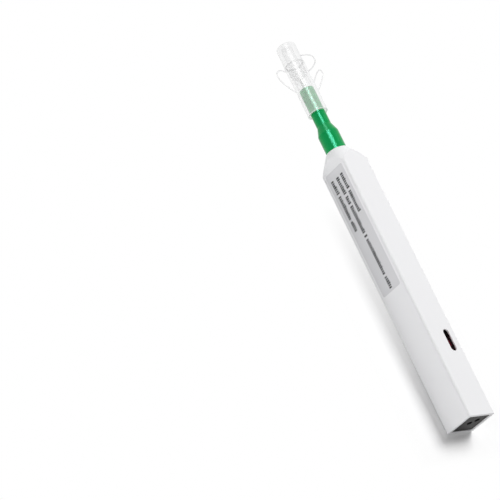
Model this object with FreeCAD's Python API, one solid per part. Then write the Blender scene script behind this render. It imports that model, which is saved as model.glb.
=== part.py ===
import FreeCAD, Part
import math
import os

# Fibre connector cleaning pen, millimetres.
# The pen lies on one flat side of its square shell, with the sight window upwards.
# +X points to the butt end, -X to the cleaning end, Z is up, and the origin is on the floor
# under the middle of the pen's length. Places along the pen are stations: the distance from
# the butt rim. "Reach" is a distance from the pen's long axis.

V = FreeCAD.Vector

# Fits
seat_gap = 0.05             # between pieces that are pressed or glued together
running_gap = 0.08          # radial, between a shaft and its bore
slide_gap = 0.3             # between the sliding core and the shell
rest_gap = 0.15             # between a moving piece and the stop it rests on

# Outer shell: one moulding of square section, cut to a nose by a cone
section = 18.0
shell_length = 158.2
shell_wall = 1.6
shell_corner = 1.2          # radius of the four long edges
cavity_corner = 0.6
nose_angle = 30.5           # half angle of the cone, in degrees
nose_ring = 6.1             # radius of the ring where the nose ends
nose_bulge = 0.35           # how far the cone's side bows outwards
nose_ring_round = 0.25
nose_bearing = 7.2          # length of the round bore that guides the nozzle

# Sight window, over the take-up reel
window_length = 12.2
window_width = 3.8
window_lip = 0.7            # wall left around the window
window_margin = 0.9         # thinned wall beside the window

# Label, let into the face beside the window
label_length = 71.5
label_nose_gap = 10.7       # from the label's front end to the nose ring
label_low = 2.2
label_width = 13.6
label_depth = 0.15
label_corner = 1.0

# Push stroke and nozzle
stroke = 10.0
nozzle_radius = 5.5
nozzle_spare = 1.1          # what still shows of the wide part at full stroke
nozzle_cone = 4.9
stem_radius = 3.85
stem_length = 22.8
stem_round = 0.5
collar_radius = 6.6
collar_length = 4.85
nozzle_tail = 18.0          # length of nozzle held inside the chassis
tail_radius = 5.0
flange_radius = 5.5
flange_width = 2.0
flange_inset = 10.0         # from the chassis's front end
nozzle_bore = 3.2
nozzle_wall = 1.4           # length of the web behind the spindle's front bearing
front_bearing = 6.0
stem_bore = 2.6

# Chassis: two half trays that hold the works and slide in the shell
spring_room = 16.4          # from the butt cap to the chassis at rest
chassis_wall = 1.2
chassis_corner = 0.8
bulkhead = 1.7
drum_wall = 4.0             # block in front of the cam drum
reel_clearance = 0.8        # from a reel's rim to the opening it stands in
strand_room = 1.5           # more opening in front of the supply reel, for the thread
peg_clearance = 0.5         # round the cam peg, and at the ends of the rack

# Drive rail: a strip fixed in the shell, with the rack and the cam peg
rail_thickness = 1.1
rail_side = -5.6            # edge of the rail towards the label
rail_width = 6.1
rail_end_gap = 0.2
rail_nose = 2.5             # rail in front of the peg's pad
rail_stop = 1.2             # thickness of the rib that the rail ends at
pad_half = 2.5              # half length of the pad under the peg

# Pinion and rack
pinion_teeth = 12
gear_module = 0.75
pressure_angle = 20.0
tooth_thinning = 0.1
pinion_addendum = 0.7
rack_addendum = 0.5
root_clearance = 0.2
gear_side = -5.3            # face of the gear towards the label
gear_width = 2.9
rack_width = 2.8

# Reels, on axles across the chassis
reel_inset = 22.5           # take-up axle, from the chassis's rear end
reel_spacing = 18.5
reel_radius = 6.4
reel_hub = 2.6
reel_cheek = 0.8
reel_middle = 3.0           # middle of both reels, across the pen
reel_room = 2.8             # between the cheeks
axle_radius = 1.0
axle_seat = 0.9             # how far an axle goes into each side of the chassis
boss_radius = 2.0
end_play = 0.2
take_up_roll = 3.6
supply_roll = 5.6
roll_gap = 0.05
brake_radius = 3.2
brake_thickness = 0.9

# Ratchets
click_teeth = 24            # on the rim of the take-up reel
click_depth = 0.5
drive_teeth = 16            # inside the take-up reel's cup
cup_radius = 5.6
cup_depth = 2.8
drive_tip = 4.3
drive_root = 4.75
pawl_reach = 4.45
pawl_band = 0.6
leaf_thickness = 0.5
pawl_root = 2.0
pawl_stand = 3.0            # from the reel's rim to the click pawl's root
pawl_slack = 0.15           # between a drive pawl's arm and the cup's teeth
pawl_angle = math.radians(-130)     # round the take-up axle, from straight down

# Cam drum and spindle
thread_run = 5.5            # from the supply reel's rim to the thread wall
drum_radius = 4.4
groove_depth = 1.2
drum_margin = 4.0           # solid drum beyond each end of the peg's travel
half_turns = 1.0            # half turns of the spindle in one stroke
peg_radius = 0.8
peg_side_gap = 0.25
peg_tip_gap = 0.2
journal_radius = 2.5
journal_tail = 7.0
spindle_gap = 3.5           # from the thread wall to the spindle
bearing_length = 5.8
bearing_radius = 3.4
shaft_radius = 2.0
thread_bore = 1.0
spindle_short = 9.0         # spindle's front end, short of the stem's end

# Cleaning tip: fixed guide pipe with a sprung, turning head in it
pipe_radius = 1.25
pipe_bore = 1.05
pipe_length = 6.0
pipe_shank = 1.45
pipe_seat = 6.5
head_radius = 0.9
head_collar = 1.2
head_pocket = 1.3
head_collar_length = 3.0
head_proud = 0.5
head_travel = 1.0
head_flat = 0.5             # half thickness across the two thread grooves
retainer_length = 1.4
tip_spring_length = 6.5
tip_wire = 0.12
tip_turns = 6

# Cleaning thread
thread_radius = 0.15
tape_thickness = 0.16
tape_width = 0.5
tape_gap = 0.04             # between the thread and the head it runs on
thread_offset = 0.66
thread_guide = 1.3

# Guide cap and its lid
cap_overlap = 15.0          # how far the cap reaches back over the stem
cap_radius = 5.4
cap_length = 30.6
cap_mouth = 4.5
cap_mouth_length = 2.0
cap_round = 0.35
web_gap = 0.4               # between the cleaning head and the cap's web
web_thickness = 1.5
guide_hole = 1.3
socket_radius = 4.35
lid_radius = 5.2
lid_length = 11.9
lid_wall = 1.3
lid_front = 1.8
lid_round = 1.6
plug_gap = 0.3

# Thin loops moulded on the cap, and the tether that keeps the lid on it
loop_radius = 0.3
loop_sink = 0.3             # how far a loop's middle line ends under the wall's face
# (distance behind the cap's front rim, reach) of the corners between a loop's two feet
lower_loop_feet = (14.9, 1.9)
lower_loop_corners = [(10.6, 7.6), (5.0, 9.9), (0.6, 10.4), (-1.0, 8.0)]
upper_loop_feet = (18.8, 13.6)
upper_loop_corners = [(14.6, 9.2), (10.8, 11.6), (7.6, 10.9), (9.6, 8.2)]
tether_feet = (-3.6, 6.6)   # on the lid, and on the cap
tether_corners = [(-2.7, 8.1), (-0.6, 10.7), (3.0, 10.9), (5.4, 8.0)]

# Butt cap
butt_recess = 0.4
butt_plate = 2.2
butt_skirt = 5.4
butt_skirt_wall = 1.2
strap_hole = 1.5
strap_places = [(-0.7, 8.95), (2.6, 11.4)]
spring_wire = 0.35
spring_radius = 4.0
spring_turns = 6
spring_ring = 0.8
spring_ring_height = 2.0

# Screws that hold the two halves of the chassis together
screw_radius = 0.8
screw_head = 1.35
screw_head_height = 0.9
screw_length = 10.0
screw_boss = 1.6
screw_recess = 0.4          # depth of the cross in a screw's head
cross_length = 1.5
cross_width = 0.3

# Derived places
axis_z = section / 2
stem_end = shell_length + stroke + nozzle_spare + nozzle_cone + stem_length
cap_rear = stem_end - cap_overlap
cap_front = cap_rear + cap_length
overall_length = cap_front + lid_length
butt_x = overall_length / 2

cavity_half = section / 2 - shell_wall
nose_shoulder = shell_length - nose_bearing
nose_slope = math.tan(math.radians(nose_angle))
nose_bore = nozzle_radius + running_gap
collar_front = nose_shoulder - rest_gap
chassis_front = collar_front - collar_length
butt_plate_inner = butt_recess + butt_plate
skirt_end = butt_plate_inner + butt_skirt
chassis_rear = butt_plate_inner + spring_room
nozzle_front = shell_length + stroke + nozzle_spare
cone_front = nozzle_front + nozzle_cone

rail_low = shell_wall
rail_top = rail_low + rail_thickness
chassis_low = rail_top + slide_gap
chassis_high = section - shell_wall - slide_gap
chassis_half = cavity_half - slide_gap
inner_low = chassis_low + chassis_wall
inner_high = chassis_high - chassis_wall
inner_half = chassis_half - chassis_wall

take_up_station = chassis_rear + reel_inset
supply_station = take_up_station + reel_spacing
reel_near = reel_middle - reel_room / 2 - reel_cheek
reel_far = reel_middle + reel_room / 2 + reel_cheek
click_far = inner_half - end_play

pitch_radius = gear_module * pinion_teeth / 2
rack_pitch = math.pi * gear_module
pitch_z = axis_z - pitch_radius

thread_wall_front = supply_station + reel_radius + thread_run
spindle_rear = thread_wall_front + spindle_gap
bearing_rear = spindle_rear + journal_tail
bearing_front = bearing_rear + bearing_length
drum_rear = bearing_front + end_play
drum_front = drum_rear + stroke + 2 * drum_margin
drum_wall_rear = drum_front + slide_gap
peg_station = drum_rear + drum_margin
rail_front = peg_station + pad_half + rail_nose
spindle_front = stem_end - spindle_short

pipe_end = stem_end + pipe_length
head_end = pipe_end + head_proud
web_rear = head_end + web_gap
web_front = web_rear + web_thickness
plug_end = web_front + plug_gap
retainer_rear = spindle_front - retainer_length
head_collar_front = retainer_rear - rest_gap
head_collar_rear = head_collar_front - head_collar_length
pocket_rear = head_collar_rear - tip_spring_length - 2 * rest_gap


# Shapes along the pen

def block(start, end, side, far_side, low, high):
    """Plain block between two stations."""
    return Part.makeBox(end - start, far_side - side, high - low, V(butt_x - end, side, low))


def bar(start, end, half_width, low, high, corner):
    """Block centred on the pen, with its four long edges rounded."""
    shape = block(start, end, -half_width, half_width, low, high)
    long_edges = [e for e in shape.Edges if abs(e.tangentAt(e.FirstParameter).x) > 0.99]
    return shape.makeFillet(corner, long_edges)


def rod(start, end, radius):
    """Round rod on the pen's axis."""
    return Part.makeCylinder(radius, end - start, V(butt_x - end, 0, axis_z), V(1, 0, 0))


def ring(start, end, outer, inner):
    """Round tube on the pen's axis."""
    return rod(start, end, outer).cut(rod(start, end, inner))


def turned(outline):
    """Solid of revolution about the pen's axis, from (station, reach) points."""
    points = [V(butt_x - station, 0, axis_z + reach) for station, reach in outline]
    face = Part.Face(Part.makePolygon(points + points[:1]))
    return face.revolve(V(0, 0, axis_z), V(1, 0, 0), 360)


def cross_rod(station, height, side, far_side, radius):
    """Round rod across the pen, along Y."""
    base = V(butt_x - station, side, height)
    return Part.makeCylinder(radius, far_side - side, base, V(0, 1, 0))


def cross_ring(station, side, far_side, outer, inner):
    """Round tube across the pen, at the height of its axis."""
    body = cross_rod(station, axis_z, side, far_side, outer)
    return body.cut(cross_rod(station, axis_z, side, far_side, inner))


def cross_plate(points, side, far_side):
    """Plate across the pen, from (station, height) points."""
    corners = [V(butt_x - station, side, height) for station, height in points]
    face = Part.Face(Part.makePolygon(corners + corners[:1]))
    return face.extrude(V(0, far_side - side, 0))


def around(station, reach, angle):
    """(station, height) of a point round a cross axle, with the angle from straight down."""
    return (station - reach * math.sin(angle), axis_z - reach * math.cos(angle))


def round_rims(shape, radius, rims):
    """Rounds the circular edges that lie at the given (station, reach) rims."""
    chosen = []
    for edge in shape.Edges:
        curve = edge.Curve
        if not isinstance(curve, Part.Circle):
            continue
        for station, reach in rims:
            same_place = abs(curve.Center.x - (butt_x - station)) < 1e-4
            if same_place and abs(curve.Radius - reach) < 1e-4:
                chosen.append(edge)
    return shape.makeFillet(radius, chosen)


def rounded_path(points):
    """Straight runs joined by tangent arcs, each as large as its two runs allow."""
    edges = []
    here = points[0]
    for before, corner, after in zip(points, points[1:], points[2:]):
        back = before - corner
        ahead = after - corner
        trim = 0.45 * min(back.Length, ahead.Length)
        back.normalize()
        ahead.normalize()
        inward = (back + ahead).normalize()
        half_cosine = back.dot(inward)
        arc_start = corner + back * trim
        arc_end = corner + ahead * trim
        centre = corner + inward * (trim / half_cosine)
        arc_radius = trim * math.sqrt(1 - half_cosine ** 2) / half_cosine
        edges.append(Part.LineSegment(here, arc_start).toShape())
        edges.append(Part.Arc(arc_start, centre - inward * arc_radius, arc_end).toShape())
        here = arc_end
    edges.append(Part.LineSegment(here, points[-1]).toShape())
    return Part.Wire(edges)


def wire_section(radius, centre, heading):
    """Section of a thin wire: an octagon with the area of the round one."""
    sides = 8
    corner = radius * math.sqrt(2 * math.pi / (sides * math.sin(2 * math.pi / sides)))
    turn = FreeCAD.Rotation(V(0, 0, 1), heading)
    points = []
    for index in range(sides):
        angle = 2 * math.pi * index / sides
        flat = V(corner * math.cos(angle), corner * math.sin(angle), 0)
        points.append(centre + turn.multVec(flat))
    return Part.makePolygon(points + points[:1])


def strand(points, radius):
    """Thin strand along a rounded path."""
    profile = wire_section(radius, points[0], points[1] - points[0])
    return rounded_path(points).makePipeShell([profile], True, False)


def coil(start, end, mean_radius, wire_radius, turns):
    """Open coil spring on the pen's axis."""
    height = end - start - 2 * wire_radius
    pitch = height / turns
    helix = Part.makeHelix(pitch, height, mean_radius)
    heading = V(0, 2 * math.pi * mean_radius, pitch)
    profile = wire_section(wire_radius, V(mean_radius, 0, 0), heading)
    spring = Part.Wire(helix.Edges).makePipeShell([profile], True, True)
    spring.rotate(V(0, 0, 0), V(0, 1, 0), 90)
    spring.translate(V(butt_x - end + wire_radius, 0, axis_z))
    return spring


def joined(first, *others):
    """One solid from pieces that meet."""
    return first.multiFuse(list(others)).removeSplitter()


# Shell body

def nose_form():
    """Round form that cuts the nose: a cone whose side bows a little outwards."""
    depth = (section - nose_ring) / nose_slope
    rear = V(butt_x - shell_length + depth, 0, axis_z + section)
    front = V(butt_x - shell_length, 0, axis_z + nose_ring)
    outward = V(-math.sin(math.radians(nose_angle)), 0, math.cos(math.radians(nose_angle)))
    middle = (rear + front) * 0.5 + outward * nose_bulge
    side = Part.Arc(rear, middle, front).toShape()
    rear_foot = V(rear.x, 0, axis_z)
    front_foot = V(front.x, 0, axis_z)
    rest = Part.makePolygon([front, front_foot, rear_foot, rear])
    face = Part.Face(Part.Wire([side] + rest.Edges))
    return face.revolve(rear_foot, V(1, 0, 0), 360).fuse(rod(0, shell_length - depth, section))


def nose_cavity():
    """Cone inside the nose, one wall in from the straight cone of the outside."""
    inward = shell_wall / math.cos(math.radians(nose_angle))
    rear_reach = nose_ring + shell_length * nose_slope - inward
    return turned([(0, 0), (0, rear_reach), (shell_length, nose_ring - inward), (shell_length, 0)])


def make_shell():
    outside = bar(0, shell_length, section / 2, 0, section, shell_corner)
    body = round_rims(outside.common(nose_form()), nose_ring_round, [(shell_length, nose_ring)])
    cavity = bar(0, nose_shoulder, cavity_half, shell_wall, section - shell_wall, cavity_corner)
    bore = rod(nose_shoulder - 1, shell_length + 1, nose_bore)
    body = body.cut([cavity.common(nose_cavity()), bore])
    body = body.cut([make_window(), window_pocket(), make_label()])
    stop_rear = rail_front + rail_end_gap
    stop = block(stop_rear, stop_rear + rail_stop, rail_side, rail_side + rail_width,
                 rail_low - shell_wall / 2, rail_top - seat_gap)
    return joined(body, stop)


def make_window():
    """Cutter for the round-ended sight window in the upper wall."""
    half = window_length / 2 - window_width / 2
    low = section - shell_wall - 1
    ends = []
    for station in (take_up_station - half, take_up_station + half):
        base = V(butt_x - station, reel_middle, low)
        ends.append(Part.makeCylinder(window_width / 2, shell_wall + 2, base))
    middle = block(take_up_station - half, take_up_station + half, reel_middle - window_width / 2,
                   reel_middle + window_width / 2, low, section + 1)
    return middle.multiFuse(ends)


def window_pocket():
    """Inner recess that thins the wall round the window, over the reel."""
    half = window_length / 2 + window_margin
    near = reel_middle - window_width / 2 - window_margin
    return block(take_up_station - half, take_up_station + half, near, click_far + window_margin,
                 section - shell_wall - seat_gap, section - window_lip)


def make_label():
    """Thin film with rounded corners, flush with the face that it is let into."""
    face_y = -section / 2
    front = shell_length - label_nose_gap
    film = block(front - label_length, front, face_y, face_y + label_depth, label_low,
                 label_low + label_width)
    corners = [e for e in film.Edges if abs(e.tangentAt(e.FirstParameter).y) > 0.99]
    return film.makeFillet(label_corner, corners)


def make_butt_cap():
    """Inset end plate with a skirt, a seat for the return spring and the strap holes."""
    half = cavity_half - seat_gap
    low = shell_wall + seat_gap
    high = section - low
    plate = bar(butt_recess, skirt_end, half, low, high, cavity_corner)
    room = bar(butt_plate_inner, skirt_end + 1, half - butt_skirt_wall, low + butt_skirt_wall,
               high - butt_skirt_wall, cavity_corner)
    seat = spring_radius + spring_wire + running_gap
    seat_ring = ring(butt_plate_inner, butt_plate_inner + spring_ring_height, seat + spring_ring, seat)
    holes = []
    for side, height in strap_places:
        base = V(butt_x - butt_plate_inner - 1, side, height)
        holes.append(Part.makeCylinder(strap_hole, butt_plate + 2, base, V(1, 0, 0)))
    return joined(plate.cut(room), seat_ring).cut(holes)


def make_drive_rail():
    """Strip on the shell's floor that carries the rack and the peg of the cam."""
    far_side = rail_side + rail_width
    strip = block(skirt_end + rail_end_gap, rail_front, rail_side, far_side, rail_low, rail_top)
    pad = block(peg_station - pad_half, peg_station + pad_half, rail_side, 2 * peg_radius, rail_low,
                rail_top)
    peg_top = axis_z - drum_radius + groove_depth - peg_tip_gap
    peg = Part.makeCylinder(peg_radius, peg_top - rail_low, V(butt_x - peg_station, 0, rail_low))
    return joined(strip, pad, peg, make_rack())


def make_rack():
    """Straight-sided teeth, with a gap under the pinion at rest."""
    lean = math.tan(math.radians(pressure_angle))
    half = rack_pitch / 4 - tooth_thinning / 2
    tip_z = pitch_z + rack_addendum
    root_z = pitch_z - pinion_addendum - root_clearance
    half_tip = half - rack_addendum * lean
    half_root = half + (pinion_addendum + root_clearance) * lean
    teeth_behind = math.ceil((stroke + rack_pitch) / rack_pitch)
    start = take_up_station - (teeth_behind + 0.2) * rack_pitch
    end = take_up_station + 2.2 * rack_pitch
    outline = [(start, rail_low), (start, root_z)]
    for index in range(-teeth_behind, 2):
        middle = take_up_station + (index + 0.5) * rack_pitch
        outline += [(middle - half_root, root_z), (middle - half_tip, tip_z)]
        outline += [(middle + half_tip, tip_z), (middle + half_root, root_z)]
    outline += [(end, root_z), (end, rail_low)]
    return cross_plate(outline, gear_side, gear_side + rack_width)


def make_return_spring():
    return coil(butt_plate_inner + seat_gap, chassis_rear - seat_gap, spring_radius, spring_wire,
                spring_turns)


# Core body

def screw_places():
    """(station, height) of the chassis screws."""
    return [(chassis_rear + bulkhead + 2 * screw_boss, axis_z),
            (bearing_rear + bearing_length / 2, axis_z + bearing_radius + 2 * screw_radius),
            (drum_wall_rear + drum_wall / 2, axis_z + bearing_radius + 2 * screw_radius)]


def make_chassis():
    """Square tube with its bulkheads and bosses, before it is parted into two trays."""
    outside = bar(chassis_rear, chassis_front, chassis_half, chassis_low, chassis_high,
                  chassis_corner)
    tail_start = chassis_front - nozzle_tail + 2.0
    rooms = [(chassis_rear + bulkhead, thread_wall_front - bulkhead),
             (thread_wall_front, bearing_rear - 0.5),
             (bearing_front, drum_wall_rear),
             (drum_wall_rear + drum_wall, tail_start)]
    hollows = []
    for start, end in rooms:
        hollows.append(block(start, end, -inner_half, inner_half, inner_low, inner_high))
    body = outside.cut(hollows)
    bosses = []
    for station, height in screw_places():
        bosses.append(cross_rod(station, height, -inner_half - 0.2, inner_half + 0.2, screw_boss))
    body = body.multiFuse(bosses)
    return body.cut(chassis_openings())


def chassis_openings():
    """Everything that is cut through the chassis."""
    wide = reel_radius + reel_clearance
    near = reel_near - slide_gap
    far = reel_far + slide_gap
    peg_reach = peg_radius + peg_clearance
    cuts = [
        block(take_up_station - wide, take_up_station + wide, near, inner_half, inner_high - 1,
              chassis_high + 1),
        block(rack_start_at_rest(), rack_end_at_stroke(), gear_side - slide_gap, inner_half,
              chassis_low - 1, inner_low + 0.1),
        block(supply_station - wide, supply_station + wide + strand_room, near, far,
              chassis_low - 1, inner_low + 0.1),
        block(supply_station - wide, supply_station + wide, near, far, inner_high - 1,
              chassis_high + 1),
        block(peg_station - peg_reach, peg_station + stroke + peg_reach, -peg_reach, peg_reach,
              chassis_low - 1, inner_low + 0.1),
        rod(thread_wall_front - bulkhead - 1, thread_wall_front + 1, thread_guide),
        rod(bearing_rear, bearing_front + 1, bearing_radius),
        rod(bearing_rear - 1, bearing_rear + 1, journal_radius + slide_gap),
        rod(drum_front, drum_wall_rear + drum_wall + 1, shaft_radius + slide_gap),
        rod(chassis_front - nozzle_tail, chassis_front + 1, tail_radius),
        rod(flange_rear(), flange_rear() + flange_width, flange_radius),
        make_axle(take_up_station),
        make_axle(supply_station),
    ]
    return cuts + make_screws(0)


def rack_start_at_rest():
    return take_up_station - stroke - 2 * rack_pitch - peg_clearance


def rack_end_at_stroke():
    return take_up_station + stroke + 2.2 * rack_pitch + peg_clearance


def flange_rear():
    return chassis_front - flange_inset - flange_width


def chassis_half_tray(body, far_side):
    """The half of the chassis on one side of the pen's middle."""
    side = 0 if far_side > 0 else far_side
    keep = block(chassis_rear - 1, chassis_front + 1, side, max(far_side, 0), 0, section)
    return body.common(keep)


def make_axle(station):
    reach = inner_half + axle_seat
    return cross_rod(station, axis_z, -reach, reach, axle_radius)


def make_screws(recess):
    """Countersunk screws from the cover's side; a recess of 0 leaves the heads plain."""
    screws = []
    for station, height in screw_places():
        shank = cross_rod(station, height, chassis_half - screw_length, chassis_half, screw_radius)
        head_base = V(butt_x - station, chassis_half, height)
        head = Part.makeCone(screw_head, screw_radius, screw_head_height, head_base, V(0, -1, 0))
        screw = shank.fuse(head)
        if recess > 0:
            side = chassis_half - recess
            for length, width in ((cross_length, cross_width), (cross_width, cross_length)):
                slot = block(station - length / 2, station + length / 2, side, chassis_half + 1,
                             height - width / 2, height + width / 2)
                screw = screw.cut(slot)
        screws.append(screw)
    return screws


def make_nozzle():
    """Green nozzle: a tail held in the chassis, a stop collar, the wide part and the stem."""
    tail_rear = chassis_front - nozzle_tail
    seat_rear = stem_end - pipe_seat
    bearing_start = nozzle_front
    outline = [
        (tail_rear, nozzle_bore), (tail_rear, tail_radius),
        (flange_rear(), tail_radius), (flange_rear(), flange_radius),
        (flange_rear() + flange_width, flange_radius), (flange_rear() + flange_width, tail_radius),
        (chassis_front, tail_radius), (chassis_front, collar_radius),
        (collar_front, collar_radius), (collar_front, nozzle_radius),
        (nozzle_front, nozzle_radius), (cone_front, stem_radius),
        (stem_end, stem_radius), (stem_end, pipe_shank),
        (seat_rear, pipe_shank), (seat_rear, stem_bore),
        (bearing_start + nozzle_wall + front_bearing, stem_bore),
        (bearing_start + nozzle_wall + front_bearing, shaft_radius + running_gap),
        (bearing_start + nozzle_wall, shaft_radius + running_gap),
        (bearing_start + nozzle_wall, stem_bore),
        (bearing_start, nozzle_bore),
    ]
    return round_rims(turned(outline), stem_round, [(stem_end, stem_radius)])


def make_guide_pipe():
    """Fixed pipe that enters the adapter, with a thicker shank in the nozzle."""
    pipe = rod(stem_end, pipe_end, pipe_radius)
    shank = rod(stem_end - pipe_seat, stem_end, pipe_shank)
    return joined(pipe, shank).cut(rod(stem_end - pipe_seat, pipe_end, pipe_bore))


def make_spindle_bearing():
    return ring(bearing_rear, bearing_front, bearing_radius, journal_radius + running_gap)


def make_click_pawl():
    """Springy leaf that rests on the take-up reel's rim and lets it turn one way."""
    tip_station, tip_height = around(take_up_station, reel_radius + rest_gap, pawl_angle)
    root_rear = take_up_station + reel_radius + pawl_stand
    root_front = root_rear + pawl_root
    low = inner_high - pawl_root
    outline = [
        (tip_station, tip_height), (tip_station + leaf_thickness, tip_height - leaf_thickness),
        (root_front, low), (root_front, inner_high), (root_rear, inner_high),
        (root_rear, low + leaf_thickness),
    ]
    return cross_plate(outline, reel_far - reel_cheek, inner_half)


def make_brake():
    """Felt ring that the supply reel's boss rubs on."""
    side = -inner_half
    return cross_ring(supply_station, side, side + brake_thickness, brake_radius, axle_radius)


def strand_end():
    """Where the strands stop, clear of the head's own thread when the head is pressed in."""
    return butt_x - pocket_rear + head_travel + rest_gap


def make_supply_strand():
    """Clean thread, from the foot of the supply roll into the spindle."""
    roll = supply_roll + thread_radius + 2 * roll_gap
    foot = axis_z - roll
    points = [V(butt_x - supply_station, reel_middle, foot),
              V(butt_x - supply_station - 0.7 * supply_roll, reel_middle, foot),
              V(butt_x - thread_wall_front + 2 * bulkhead, thread_offset, axis_z),
              V(strand_end(), thread_offset, axis_z)]
    return strand(points, thread_radius)


def make_take_up_strand():
    """Used thread, from the spindle over the supply reel's boss to the take-up roll."""
    roll = take_up_roll + thread_radius + 2 * roll_gap
    top = axis_z + roll
    entry = take_up_station + reel_radius - 0.4
    points = [V(butt_x - take_up_station, reel_middle, top),
              V(butt_x - entry, reel_middle, top),
              V(butt_x - entry - thread_run, -thread_offset / 2, top),
              V(butt_x - supply_station - boss_radius, -thread_offset, top - roll_gap - 0.6),
              V(butt_x - thread_wall_front + 2 * bulkhead, -thread_offset, axis_z),
              V(strand_end(), -thread_offset, axis_z)]
    return strand(points, thread_radius)


# Pinion and reels

def gear_flank(centre, side):
    """Points up one flank of a tooth, from the root circle to the tip circle."""
    base_radius = pitch_radius * math.cos(math.radians(pressure_angle))
    tip_radius = pitch_radius + pinion_addendum
    at_pitch = math.tan(math.radians(pressure_angle)) - math.radians(pressure_angle)
    half = math.pi / (2 * pinion_teeth) - tooth_thinning / (2 * pitch_radius)
    points = []
    for step in range(5):
        radius = base_radius + (tip_radius - base_radius) * step / 4
        roll = math.acos(min(1.0, base_radius / radius))
        turn = half + at_pitch - (math.tan(roll) - roll)
        points.append(around(take_up_station, radius, centre + side * turn))
    return points


def gear_face():
    """Involute teeth as one closed face, the first pointing straight down."""
    root_radius = pitch_radius - rack_addendum - root_clearance
    tip_radius = pitch_radius + pinion_addendum
    step = 2 * math.pi / pinion_teeth

    def place(point):
        return V(butt_x - point[0], gear_side, point[1])

    edges = []
    for index in range(pinion_teeth):
        centre = index * step
        up = [place(p) for p in gear_flank(centre, -1)]
        down = [place(p) for p in reversed(gear_flank(centre, 1))]
        half_root = math.pi / pinion_teeth * 0.62
        foot_in = place(around(take_up_station, root_radius, centre - half_root))
        foot_out = place(around(take_up_station, root_radius, centre + half_root))
        next_foot = place(around(take_up_station, root_radius, centre + step - half_root))
        root_middle = place(around(take_up_station, root_radius, centre + step / 2))
        tip_middle = place(around(take_up_station, tip_radius, centre))
        rising = Part.BSplineCurve()
        rising.interpolate(up)
        falling = Part.BSplineCurve()
        falling.interpolate(down)
        edges.append(Part.LineSegment(foot_in, up[0]).toShape())
        edges.append(rising.toShape())
        edges.append(Part.Arc(up[-1], tip_middle, down[0]).toShape())
        edges.append(falling.toShape())
        edges.append(Part.LineSegment(down[-1], foot_out).toShape())
        edges.append(Part.Arc(foot_out, root_middle, next_foot).toShape())
    return Part.Face(Part.Wire(edges))


def make_drive_pinion():
    """Gear on a sleeve, with two pawls that drive the take-up reel's cup."""
    gear = gear_face().extrude(V(0, gear_width, 0))
    sleeve_start = -inner_half + end_play
    cup_floor = reel_near
    sleeve = cross_rod(take_up_station, axis_z, sleeve_start, cup_floor - end_play, boss_radius + 0.2)
    bore = cross_rod(take_up_station, axis_z, sleeve_start - 1, cup_floor, axle_radius + running_gap)
    pawls = [make_drive_pawl(turn) for turn in (0, math.pi)]
    return joined(gear, sleeve, *pawls).cut(bore)


def make_drive_pawl(turn):
    """Curved springy arm from the sleeve to one tooth of the cup."""
    pitch = 2 * math.pi / drive_teeth
    outer = drive_tip - pawl_slack
    inner = outer - pawl_band
    tip_from = turn + 0.12 * pitch
    tip_to = turn + 0.4 * pitch
    arm_end = turn + 4.2 * pitch
    steps = 10
    outline = [around(take_up_station, inner, tip_from), around(take_up_station, pawl_reach, tip_from),
               around(take_up_station, pawl_reach, tip_to)]
    for index in range(steps + 1):
        angle = tip_to + (arm_end - tip_to) * index / steps
        outline.append(around(take_up_station, outer, angle))
    outline.append(around(take_up_station, boss_radius, arm_end))
    outline.append(around(take_up_station, boss_radius, arm_end - 0.9 * pitch))
    for index in range(steps):
        angle = arm_end - 0.9 * pitch - (arm_end - 0.9 * pitch - tip_from) * index / steps
        outline.append(around(take_up_station, inner, angle))
    side = reel_near - cup_depth + 2 * end_play
    return cross_plate(outline, side, reel_near - end_play)


def sawtooth(count, low, high, phase):
    """(station, height) points of a ratchet round the take-up axle."""
    points = []
    for index in range(count):
        angle = phase + 2 * math.pi * index / count
        points.append(around(take_up_station, low, angle))
        points.append(around(take_up_station, high, angle))
    return points


def make_take_up_reel():
    """Red reel with a broad click rim on one side and the drive cup on the other."""
    far_inner = reel_far - reel_cheek
    click_rim = cross_plate(sawtooth(click_teeth, reel_radius - click_depth, reel_radius, 0),
                            far_inner, click_far)
    near_cheek = cross_rod(take_up_station, axis_z, reel_near, reel_near + reel_cheek, reel_radius)
    drum = cross_rod(take_up_station, axis_z, reel_near, click_far, reel_hub)
    cup = cross_rod(take_up_station, axis_z, reel_near - cup_depth, reel_near, cup_radius)
    teeth = cross_plate(sawtooth(drive_teeth, drive_tip, drive_root, 0), reel_near - cup_depth,
                        reel_near)
    bore = cross_rod(take_up_station, axis_z, reel_near - cup_depth, inner_half,
                     axle_radius + running_gap)
    return joined(click_rim, near_cheek, drum, cup.cut(teeth)).cut(bore)


def make_supply_reel():
    """Plain reel with a long boss that runs against the brake."""
    cheeks = []
    for side in (reel_near, reel_far - reel_cheek):
        cheeks.append(cross_rod(supply_station, axis_z, side, side + reel_cheek, reel_radius))
    boss_start = -inner_half + brake_thickness + seat_gap
    boss = cross_rod(supply_station, axis_z, boss_start, inner_half - end_play, boss_radius)
    drum = cross_rod(supply_station, axis_z, reel_near, reel_far, reel_hub)
    bore = cross_rod(supply_station, axis_z, boss_start, inner_half, axle_radius + running_gap)
    return joined(drum, boss, *cheeks).cut(bore)


def make_roll(station, radius):
    """Wound thread between a reel's cheeks."""
    half = reel_room / 2 - roll_gap
    return cross_ring(station, reel_middle - half, reel_middle + half, radius, reel_hub)


# Spindle and cleaning head

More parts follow.
